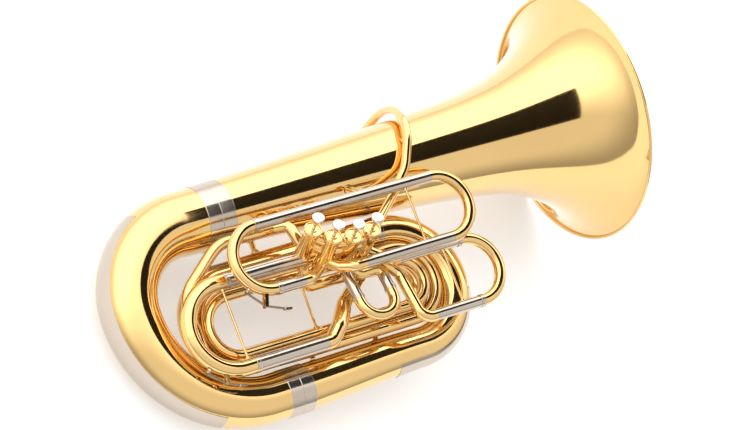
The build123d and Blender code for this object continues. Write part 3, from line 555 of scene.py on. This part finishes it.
class TUBA_OT_bows(bpy.types.Operator):
    """Bend the bottom bow, the branches and the upper bows, with guards and ferrules."""

    bl_idname = "tuba.bows"
    bl_label = "Bows and branches"

    def execute(self, context):
        s = context.scene.tuba_sizes
        n = s.big_sides
        self.bottom_bow(n)
        self.guards()
        self.branches(n)
        self.ferrules()
        return {"FINISHED"}

    def bottom_bow(self, n):
        bell_c, far_c = bow_centres()
        bm = bmesh.new()
        first = ring_edges(bm, Vector((BELL_JOINT_X, 0, 0)), Vector((-1, 0, 0)), BELL_JOINT_R, n)
        edges = draw_on(bm, first, Vector((bell_c.x - BELL_JOINT_X, 0, 0)))
        resize(bm, edges, Vector((bell_c.x, 0, 0)), BOW_R_ENDS[0] / BELL_JOINT_R)
        edges = swept_bow(bm, edges, bell_c, 90, BOW_R_ENDS[0], BOW_R_MID[0], 36)
        edges = draw_on(bm, edges, Vector((0, far_c.y - bell_c.y, 0)))
        resize(bm, edges, Vector((BOW_APEX_X, far_c.y, 0)), BOW_R_MID[1] / BOW_R_MID[0])
        edges = swept_bow(bm, edges, far_c, 90, BOW_R_MID[1], BOW_R_ENDS[1], 36)
        edges = draw_on(bm, edges, Vector((FAR_JOINT_X - far_c.x, 0, 0)))
        for loop in (first, edges):
            bmesh.ops.edgeloop_fill(bm, edges=loop)
        finish_piece(bm, "bottom_bow_sheet", "Lacquered brass", ["bottom_bow"], 50)

    def guards(self):
        """Nickel plates, held a little way off the brass."""
        lift = 0.45
        self.bottom_guard(lift)
        self.top_guard(lift, reach=62)

    def bottom_guard(self, lift):
        bell_c, far_c = bow_centres()
        (ra, rb), half = BOW_R_MID, 36
        start, end = 116, 244
        r_at = BOW_R_ENDS[0] + (ra - BOW_R_ENDS[0]) * (start - 90) / 90
        bm = bmesh.new()
        edges = guard_arc(bm, bell_c, BOW_BEND[0], start, r_at + lift, half)
        edges = swept_guard(bm, edges, bell_c, BOW_BEND[0], start, 180, r_at + lift, ra + lift, 30)
        edges = draw_on(bm, edges, Vector((0, far_c.y - bell_c.y, 0)))
        r_at = rb + (BOW_R_ENDS[1] - rb) * (end - 180) / 90
        swept_guard(bm, edges, far_c, BOW_BEND[1], 180, end, rb + lift, r_at + lift, 30)
        guard_piece(bm, "bow_guard_plate", "bow_guard")

    def top_guard(self, lift, reach):
        """Guard of the top bow, which runs on along the second branch."""
        bend = (TOP_Y[1] - TOP_Y[0]) / 2
        centre = Vector((TOP_X, TOP_Y[0] + bend, 0))
        radius = TOP_R[0]
        start, end, half = 270, 345, 52
        r_end = radius + (TOP_R[1] - radius) * (end - start) / 180
        bm = bmesh.new()
        edges = guard_arc(bm, centre, bend, start, radius + lift, half)
        swept_guard(bm, edges, centre, bend, start, end, radius + lift, r_end + lift, 34)
        before = Vector((TOP_X, TOP_Y[0], 0))
        steps = 8
        for k in range(steps):
            gone = reach * (k + 1) / steps
            t = gone / (TOP_X - FAR_JOINT_X)
            here = Vector((TOP_X - gone, TOP_Y[0] + (FAR_Y - TOP_Y[0]) * (3 * t * t - 2 * t**3), 0))
            edges = draw_on(bm, edges, here - before)
            wanted = TOP_R[0] + (BOW_R_ENDS[1] - TOP_R[0]) * t
            resize(bm, edges, here, (wanted + lift) / (radius + lift))
            radius, before = wanted, here
        guard_piece(bm, "top_bow_guard_plate", "top_bow_guard")

    def branches(self, n):
        self.long_branch(n)
        top = half_loop(TOP_X, 633, TOP_Y, 0)
        inner = half_loop(INNER_X, 143.5, INNER_Y, 0)
        small = half_loop(SMALL_X, 569, SMALL_Y, 0)
        third = [(TOP_X, TOP_Y[1], 0), (INNER_X, INNER_Y[0], 0)]
        fourth = [(INNER_X, INNER_Y[1], 0), (SMALL_X, SMALL_Y[0], 0)]
        self.branch("top_bow_tube", top, [102.99] * 2, *TOP_R, n, "top_bow")
        self.branch("third_branch_tube", third, [], TOP_R[1], INNER_R[0], n, "third_branch")
        self.branch("inner_bow_tube", inner, [71.49] * 2, *INNER_R, n, "inner_bow")
        self.branch("fourth_branch_tube", fourth, [], INNER_R[1], SMALL_R[0], n, "fourth_branch")
        self.branch("small_top_bow_tube", small, [43.99] * 2, *SMALL_R, 64, "small_top_bow")

    def branch(self, name, points, radii, r_start, r_end, n, node):
        tube_piece(name, [(points, radii, r_start, r_end, n)], "Lacquered brass", [node])

    def long_branch(self, n):
        """Second branch, which eases sideways as it narrows."""
        bm = bmesh.new()
        steps = 24
        x0, x1, y0, y1 = FAR_JOINT_X + 0.1, TOP_X - 0.1, FAR_Y, TOP_Y[0]
        r0, r1 = BOW_R_ENDS[1], TOP_R[0]
        first = ring_edges(bm, Vector((x0, y0, 0)), Vector((1, 0, 0)), r0, n)
        edges = first
        radius = r0
        before = Vector((x0, y0, 0))
        for k in range(steps):
            t = (k + 1) / steps
            here = Vector((x0 + (x1 - x0) * t, y0 + (y1 - y0) * (3 * t * t - 2 * t**3), 0))
            edges = draw_on(bm, edges, here - before)
            wanted = r0 + (r1 - r0) * t
            resize(bm, edges, here, wanted / radius)
            radius, before = wanted, here
        for loop in (first, edges):
            bmesh.ops.edgeloop_fill(bm, edges=loop)
        finish_piece(bm, "second_branch_tube", "Lacquered brass", ["second_branch"], 50)

    def ferrules(self):
        """Nickel rings over the branch joints: one band, of one or two rings, for each joint."""
        bands = {
            "bell_ferrule_band": (0, 0.9, 112, ((214, 238.9, 55.3, 55.8), (238.9, 264, 55.8, 57.0))),
            "far_ferrule_band": (FAR_Y, 0.9, 96, ((249.2, 272, 40.1, 40.1), (272.2, 295.5, 40.1, 40.1))),
            "top_ferrule_bands": (TOP_Y[1], 1.4, 80, ((520, 529.9, 27.8, 27.8),)),
        }
        for name, (y, thick, sides, rings) in bands.items():
            bm = bmesh.new()
            for start, end, ra, rb in rings:
                sleeve(bm, (start, y, 0), (end, y, 0), ra, rb, thick, sides=sides)
            finish_piece(bm, name, "Nickel silver", ["branch_ferrules"])


# ------------------------------------------------------------------ slides and loops


class TUBA_OT_loops(bpy.types.Operator):
    """Bend the main slide, the four valve loops and the leadpipe."""

    bl_idname = "tuba.loops"
    bl_label = "Tubing"

    def execute(self, context):
        s = context.scene.tuba_sizes
        self.sides = s.sides
        self.main_slide(s.main_bore)
        self.third_loop(s.loop_bore)
        self.first_loop(s.loop_bore)
        self.second_loop(s.second_bore)
        self.fourth_loop(s.loop_bore)
        self.leadpipe(s.lead_bore)
        return {"FINISHED"}

    def brass(self, name, routes, node):
        self.tubes(name, routes, node, "Lacquered brass", "lacquered_brass")

    def nickel(self, name, routes, node):
        self.tubes(name, routes, node, "Nickel silver", "nickel_silver")

    def tubes(self, name, routes, node, finish, slot):
        whole = [(points, radii, r, end, self.sides) for points, radii, r, end in routes]
        tube_piece(name, whole, finish, [node])

    def legs(self, name, node, spots, r, collar):
        """Inner slide legs, each with the turned collar that joins it to its crook."""
        bm = bmesh.new()
        for back, mouth, tip in spots:
            back, mouth, tip = Vector(back), Vector(mouth), Vector(tip)
            way = (tip - back).normalized()
            reach = (mouth - back).length
            whole = (tip - back).length
            profile = [(0, 0), (collar - 0.5, 0), (collar, 0.5), (collar, 2), (collar - 0.5, 2.4),
                       (collar - 0.5, reach - 2.4), (collar, reach - 2), (collar, reach - 0.5),
                       (collar - 0.5, reach), (r, reach), (r, whole), (0, whole)]
            lathe(bm, profile, along(back, way), 48)
        finish_piece(bm, name, "Nickel silver", [node])

    def main_slide(self, r):
        ya, yb = MAIN_Y
        crook = half_loop(191.9, 104, MAIN_Y, MAIN_Z)
        self.brass("main_crook", [(crook, [71.95] * 2, r, None)], "main_slide_crook")
        spots = [[(x, y, MAIN_Z) for x in (192, 199.7, 262)] for y in MAIN_Y]
        self.legs("main_legs", "main_slide_legs", spots, 12.65, 14.6)
        near = [(200, ya, MAIN_Z), (344, ya, MAIN_Z)]
        far = [(200, yb, MAIN_Z), (329.9, yb, MAIN_Z)]
        self.nickel("main_outer_sleeves", [(near, [], r, None), (far, [], r, None)], "main_sleeves")
        cone = [(SMALL_X, SMALL_Y[1], 0), (478, SMALL_Y[1], 0)]
        tail = [(478, SMALL_Y[1], 0), (456, -176, 7), (396, -212, 46), (364, -246, MAIN_Z),
                (342, yb, MAIN_Z), (330, yb, MAIN_Z)]
        self.brass("main_tail_tube", [(cone, [], SMALL_R[1], 14), (tail, [40, 40, 30, 16], 13.6, None)],
                   "main_tail")

    def third_loop(self, r):
        ya, yb = THIRD_Y
        crook = half_loop(255.9, 200.8, THIRD_Y, THIRD_Z)
        self.brass("third_crook", [(crook, [54.95] * 2, r, None)], "third_slide_crook")
        spots = [[(x, y, THIRD_Z) for x in (256, 263.7, 306)] for y in THIRD_Y]
        self.legs("third_legs", "third_slide_legs", spots, 9.15, 11.1)
        spans = ((264, 604, ya), (604, 428, yb), (264, 308, yb))
        straights = [([(a, y, THIRD_Z), (b, y, THIRD_Z)], [], r, None) for a, b, y in spans]
        self.nickel("third_outer_tubes", straights, "third_tubes")
        bow = half_loop(604.1, 659.1, THIRD_Y, THIRD_Z)
        elbow = [(427.9, yb, THIRD_Z), (408, yb, THIRD_Z), (390, -156, 88), valve_at(3, 70)]
        rise = [(308.1, yb, THIRD_Z), (320, yb, THIRD_Z), (352, -150, 84), valve_at(3, 76)]
        self.brass("third_bent_tubes", [(bow, [54.95] * 2, r, None), (elbow, [18, 12], r, None),
                                        (rise, [20, 16], r, None)], "third_bends")

    def first_loop(self, r):
        ya, yb = FIRST_Y
        crook = half_loop(628.1, 683.3, FIRST_Y, FIRST_Z)
        self.brass("first_crook", [(crook, [54.95] * 2, r, None)], "first_slide_crook")
        spots = [[(x, y, FIRST_Z) for x in (628, 620.3, 550)] for y in FIRST_Y]
        self.legs("first_legs", "first_slide_legs", spots, 9.15, 11.1)
        near = [(503, ya, FIRST_Z), (620, ya, FIRST_Z)]
        far = [(530, yb, FIRST_Z), (620, yb, FIRST_Z)]
        self.nickel("first_outer_sleeves", [(near, [], r, None), (far, [], r, None)], "first_sleeves")
        top = [(502.9, ya, FIRST_Z), (487, ya, FIRST_Z), valve_at(1, 78)]
        low = [(529.9, yb, FIRST_Z), (506, yb, FIRST_Z), (505, -192, 64), (478, -154, 60), valve_at(1, 60)]
        self.brass("first_bent_tubes", [(top, [22], r, None), (low, [20, 20, 12], r, None)], "first_bends")

    def second_loop(self, r):
        way = Vector((0, -1, 0.2)).normalized()

        def spot(side, reach):
            return Vector((SECOND_X[side], SECOND_Y, SECOND_Z)) + way * reach

        crook = [spot(0, 56.1), spot(0, 93.5), spot(1, 93.5), spot(1, 56.1)]
        self.brass("second_crook", [(crook, [31.45] * 2, r, None)], "second_slide_crook")
        pairs = [[spot(side, reach) for reach in (56, 50.3, tip)] for side, tip in ((0, 18), (1, 31))]
        self.legs("second_legs", "second_slide_legs", pairs, 8.65, 10.5)
        near = [spot(0, -14), spot(0, 50)]
        far = [spot(1, 30.1), spot(1, 50)]
        self.nickel("second_outer_sleeves", [(near, [], r, None), (far, [], r, None)], "second_sleeves")
        corner = spot(1, 14)
        bend = [spot(1, 30), corner, (436, corner.y, 62), (424, -158, 61), valve_at(2, 60)]
        self.brass("second_bent_tube", [(bend, [13, 10, 6], r, None)], "second_bend")

    def fourth_loop(self, r):
        ya, yb = FOURTH_Y
        outer = [valve_at(4, 80), (344, -62, 58), (320, -58, 47), (215, -58, 46), (128, -125, 36),
                 (128, -266.5, 36.5), (215, -266.5, 36.5)]
        self.brass("fourth_outer_tube", [(outer, [14, 14, 60, 60, 62], r, None)], "fourth_outer_bend")
        long_loop = [(215.1, -266.5, 36.5), (236, -266.5, 36.5), (300, -267, 27), (590, -267, 26),
                     (590, ya, 26), (300, ya, 26), (262, ya, FOURTH_Z), (209, ya, FOURTH_Z)]
        bends = [90, 90, 62.9, 62.9, 60, 60]
        self.brass("fourth_long_tube", [(long_loop, bends, r, None)], "fourth_long_loop")
        inner = half_loop(208.9, 152, FOURTH_Y, FOURTH_Z)
        self.brass("fourth_inner_tube", [(inner, [50.95] * 2, r, None)], "fourth_inner_crook")
        back = [(209, yb, FOURTH_Z), (564, yb, FOURTH_Z), (564, -165, FOURTH_Z), (345, -165, FOURTH_Z),
                (344, -143, 50), valve_at(4, 62)]
        self.brass("fourth_return_tube", [(back, [38.9, 38.9, 14, 12], r, None)], "fourth_return")

    def leadpipe(self, r):
        """Leadpipe from the first valve over the bell branch to the mouthpiece receiver."""
        end = Vector((597, 58, -112))
        last = Vector((614, 80, -74))
        way = (end - last).normalized()
        points = [valve_point(1, 30), (482, -106, 95), (540, -62, 85), (578, -26, 88), (602, 22, 91),
                  (612, 52, 85), (632, 93, 36), (632, 98, -20), last, end - way * 26]
        bends = [30, 60, 60, 60, 44, 100, 70, 30]
        self.brass("leadpipe_tube", [(points, bends, r, None)], "leadpipe")
        bm = bmesh.new()
        profile = [(7.4, 0), (9.2, 0), (9.6, 0.6), (9.6, 30), (10.2, 31), (11, 32.4), (11, 37.2), (10.4, 38),
                   (7.4, 38), (6.75, 37), (6.75, 12), (0, 11.9), (0, 11.5), (7.4, 11.5), (7.4, 0)]
        lathe(bm, profile, along(end - way * 38, way), 48)
        finish_piece(bm, "mouthpiece_socket", "Lacquered brass", ["mouthpiece_receiver"])


# ------------------------------------------------------------------ valves


def longest(face):
    return max(edge.calc_length() for edge in face.edges)


def knurl(bm):
    """Press a fine knurl into the plain upright band of the caps."""
    bmesh.ops.recalc_face_normals(bm, faces=bm.faces)
    band = [f for f in bm.faces if abs(f.normal.dot(VALVE_AXIS)) < 0.05 and 3.0 < longest(f) < 4.6]
    bmesh.ops.inset_individual(bm, faces=band, thickness=0.22, depth=-0.4)


class TUBA_OT_valves(bpy.types.Operator):
    """Turn the casings, knurled caps, pistons, felts and pearl buttons."""

    bl_idname = "tuba.valves"
    bl_label = "Valves"

    def execute(self, context):
        s = context.scene.tuba_sizes
        self.caps(s)
        for number in VALVE_TOPS:
            self.casing(s, number)
            self.piston(number)
            self.button(s, number)
        polished_copy("valve_links", "Lacquered brass")
        return {"FINISHED"}

    def casing(self, s, number):
        bm = bmesh.new()
        r = s.casing
        profile = [(0, 0), (r, 0), (r, 3), (r + 0.7, 3.4), (r + 0.7, 5.6), (r, 6), (r, 64), (r + 0.8, 64.4),
                   (r + 0.8, 66.6), (r, 67), (r, 70), (0, 70)]
        lathe(bm, profile, along(valve_point(number, 78), VALVE_AXIS), 64)
        finish_piece(bm, f"valve_{number}_barrel", "Lacquered brass",
                     [f"valve_{number}_casing"])

    def caps(self, s):
        r = s.cap
        profile = [(3.2, 0), (r - 1.2, 0), (r - 0.5, 0.7), (r - 0.5, 1.4), (r, 1.6), (r, 5.6),
                   (r - 0.5, 5.9), (r - 0.6, 7.2), (r - 1.4, 7.9), (r - 2.4, 7.9), (r - 3.2, 5.4),
                   (7.2, 5.2), (6.2, 5.8), (6.2, 7.0), (5.6, 7.4), (3.2, 7.4), (3.2, 0)]
        self.cap_set("valve_cap_set", profile, 7.9, "valve_top_caps")
        r = s.casing + 1
        profile = [(0, 0), (3.4, 0), (4, 0.6), (4, 2.0), (r - 4.2, 2.0), (r - 3.6, 0.5), (r - 1, 0),
                   (r - 0.4, 0.6), (r - 0.4, 1.2), (r, 1.4), (r, 4.8), (r - 0.4, 5.2), (r - 0.8, 5.9),
                   (0, 5.9)]
        self.cap_set("valve_bottom_cap_set", profile, 84, "valve_bottom_caps")

    def cap_set(self, name, profile, down, node):
        """One knurled cap on each valve, down millimetres below the top of the valve."""
        bm = bmesh.new()
        for number in VALVE_TOPS:
            lathe(bm, profile, along(valve_point(number, down), VALVE_AXIS), 72)
        knurl(bm)
        finish_piece(bm, name, "Lacquered brass", [node], 34, tidy=False)

    def piston(self, number):
        bm = bmesh.new()
        place = along(valve_point(number, 56), VALVE_AXIS)
        top = 56 + 29
        profile = [(10.4, 0), (11.2, 0), (11.6, 0.4), (11.6, 45.6), (11.2, 46), (2.6, 46), (2.6, top - 6),
                   (4.4, top - 5.4), (8.6, top - 5.1), (9.5, top - 4.4), (9.5, top - 2.9), (9.1, top - 2.6),
                   (0, top - 2.6), (0, 44), (10.4, 44), (10.4, 0)]
        lathe(bm, profile, place, 56)
        finish_piece(bm, f"valve_{number}_plunger", "Plated valve metal",
                     [f"valve_{number}_piston"])
        bm = bmesh.new()
        profile = [(2.7, 0), (6.6, 0), (7.2, 0.5), (7.2, 2.6), (6.6, 3.1), (2.7, 3.1), (2.7, 0)]
        lathe(bm, profile, along(valve_point(number, -20.4), VALVE_AXIS), 48)
        finish_piece(bm, f"valve_{number}_felt", "Felt", [f"valve_{number}_piston"])

    def button(self, s, number):
        r = s.button
        place = along(valve_point(number, -26.5), VALVE_AXIS)
        bm = bmesh.new()
        profile = [(0, 0), (r - 1.2, 0), (r - 0.2, 0.8), (r, 1.8), (r, 3.0), (r - 0.4, 3.7), (r - 1.0, 3.9),
                   (r - 1.5, 3.6), (r - 1.5, 3.0), (0, 3.0)]
        lathe(bm, profile, place, 64)
        finish_piece(bm, f"valve_{number}_button_rim", "Plated valve metal",
                     [f"valve_{number}_button"])
        bm = bmesh.new()
        dome = [(0, 3.0), (r - 1.6, 3.0), (r - 1.6, 3.9)]
        for k in range(1, 9):
            a = math.radians(90 * k / 8)
            dome.append(((r - 1.6) * math.cos(a), 3.9 + 1.05 * math.sin(a)))
        lathe(bm, dome, place, 64)
        finish_piece(bm, f"valve_{number}_button_pearl", "Pearl", [f"valve_{number}_button"])


# ------------------------------------------------------------------ stays and water keys


class TUBA_OT_fittings(bpy.types.Operator):
    """Polish the stays, braces and water keys, and give the keys their pads."""

    bl_idname = "tuba.fittings"
    bl_label = "Stays and water keys"

    def execute(self, context):
        for node in ("loop_stays", "body_stays", "main_slide_brace"):
            polished_copy(node, "Lacquered brass")
        for name in ("third", "main"):
            polished_copy(f"{name}_key_saddle", "Lacquered brass")
            polished_copy(f"{name}_key_lever", "Dark plated steel")
            polished_copy(f"{name}_key_cork", "Cork")
        return {"FINISHED"}


# ------------------------------------------------------------------ studio


class TUBA_OT_stage(bpy.types.Operator):
    """Lay the pale floor, light the tent and set the camera."""

    bl_idname = "tuba.stage"
    bl_label = "Studio"

    def execute(self, context):
        self.floor()
        self.tent(context)
        self.card()
        self.camera(context)
        return {"FINISHED"}

    def floor(self):
        bm = bmesh.new()
        bmesh.ops.create_grid(bm, x_segments=4, y_segments=4, size=14.0)
        mesh = bpy.data.meshes.new("floor")
        bm.to_mesh(mesh)
        bm.free()
        material = bpy.data.materials.new("Pale floor")
        material.use_nodes = True
        shader = material.node_tree.nodes["Principled BSDF"]
        shader.inputs["Base Color"].default_value = (0.62, 0.62, 0.62, 1)
        shader.inputs["Emission Color"].default_value = (1.0, 1.0, 1.0, 1)
        shader.inputs["Emission Strength"].default_value = 0.42
        shader.inputs["Roughness"].default_value = 0.9
        shader.inputs["Specular IOR Level"].default_value = 0.1
        mesh.materials.append(material)
        floor = bpy.data.objects.new("floor", mesh)
        floor.location = (0, 0, -0.0005)
        bpy.context.scene.collection.objects.link(floor)

    def tent(self, context):
        """White tent, brighter on the bell's side and dimmer towards the horizon."""
        world = bpy.data.worlds.new("Tent")
        context.scene.world = world
        world.use_nodes = True
        tree = world.node_tree
        back = tree.nodes["Background"]
        place = add_node(tree, "ShaderNodeTexCoord")
        split = add_node(tree, "ShaderNodeSeparateXYZ")
        rise = add_node(tree, "ShaderNodeMapRange", interpolation_type="SMOOTHSTEP",
                        From_Min=-0.05, From_Max=0.55, To_Min=0.45, To_Max=1.0)
        side = add_node(tree, "ShaderNodeMapRange", interpolation_type="SMOOTHSTEP",
                        From_Min=-0.35, From_Max=0.40, To_Min=0.95, To_Max=2.3)
        light = add_node(tree, "ShaderNodeMath", operation="MULTIPLY")
        tree.links.new(place.outputs["Generated"], split.inputs[0])
        tree.links.new(split.outputs["Z"], rise.inputs["Value"])
        tree.links.new(split.outputs["Y"], side.inputs["Value"])
        tree.links.new(rise.outputs["Result"], light.inputs[0])
        tree.links.new(side.outputs["Result"], light.inputs[1])
        tree.links.new(light.outputs[0], back.inputs["Strength"])
        back.inputs["Color"].default_value = (1.0, 0.985, 0.96, 1)
        context.scene.view_settings.view_transform = "Standard"
        context.scene.view_settings.look = "None"

    def card(self):
        """Black card hung over the horn: polished metal shows it as a crisp dark stripe."""
        bm = bmesh.new()
        length, width = 0.74, 0.60
        centre = (0.25, 0.04, 1.0)
        made = bmesh.ops.create_grid(bm, x_segments=1, y_segments=1, size=0.5)["verts"]
        bmesh.ops.scale(bm, vec=(length, width, 1.0), verts=made)
        bmesh.ops.translate(bm, vec=centre, verts=made)
        mesh = bpy.data.meshes.new("black_card")
        bm.to_mesh(mesh)
        bm.free()
        material = bpy.data.materials.new("Black card")
        material.use_nodes = True
        shader = material.node_tree.nodes["Principled BSDF"]
        shader.inputs["Base Color"].default_value = (0.012, 0.01, 0.009, 1)
        shader.inputs["Roughness"].default_value = 1.0
        shader.inputs["Specular IOR Level"].default_value = 0.0
        mesh.materials.append(material)
        card = bpy.data.objects.new("black_card", mesh)
        card.visible_camera = False
        card.visible_diffuse = False
        card.visible_shadow = False
        bpy.context.scene.collection.objects.link(card)

    def camera(self, context):
        data = bpy.data.cameras.new("camera")
        data.sensor_width = 36
        data.angle = math.radians(16)
        camera = bpy.data.objects.new("camera", data)
        camera.location = (-2.90049, -1.05014, 3.43376)
        camera.rotation_euler = [math.radians(a) for a in (30.4203, -32.4228, -27.9648)]
        context.scene.collection.objects.link(camera)
        context.scene.camera = camera


class TUBA_PT_panel(bpy.types.Panel):
    """Steps of building the tuba, in order."""

    bl_label = "Tuba"
    bl_idname = "TUBA_PT_panel"
    bl_space_type = "VIEW_3D"
    bl_region_type = "UI"
    bl_category = "Tuba"

    def draw(self, context):
        for step in STEPS:
            self.layout.operator(step.bl_idname)
        for group in (context.scene.tuba_sizes, context.scene.tuba_finish):
            for name in group.__annotations__:
                self.layout.prop(group, name)


STEPS = (TUBA_OT_finishes, TUBA_OT_bell, TUBA_OT_bows, TUBA_OT_loops, TUBA_OT_valves, TUBA_OT_fittings,
         TUBA_OT_stage)
CLASSES = (TubaSizes, TubaFinish) + STEPS + (TUBA_PT_panel,)


def register():
    for item in CLASSES:
        bpy.utils.register_class(item)
    bpy.types.Scene.tuba_sizes = PointerProperty(type=TubaSizes)
    bpy.types.Scene.tuba_finish = PointerProperty(type=TubaFinish)


def unregister():
    del bpy.types.Scene.tuba_finish
    del bpy.types.Scene.tuba_sizes
    for item in reversed(CLASSES):
        bpy.utils.unregister_class(item)


def main():
    register()
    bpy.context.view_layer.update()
    bpy.ops.tuba.finishes()
    bpy.ops.tuba.bell()
    bpy.ops.tuba.bows()
    bpy.ops.tuba.loops()
    bpy.ops.tuba.valves()
    bpy.ops.tuba.fittings()
    bpy.ops.tuba.stage()


if __name__ == "__main__":
    main()
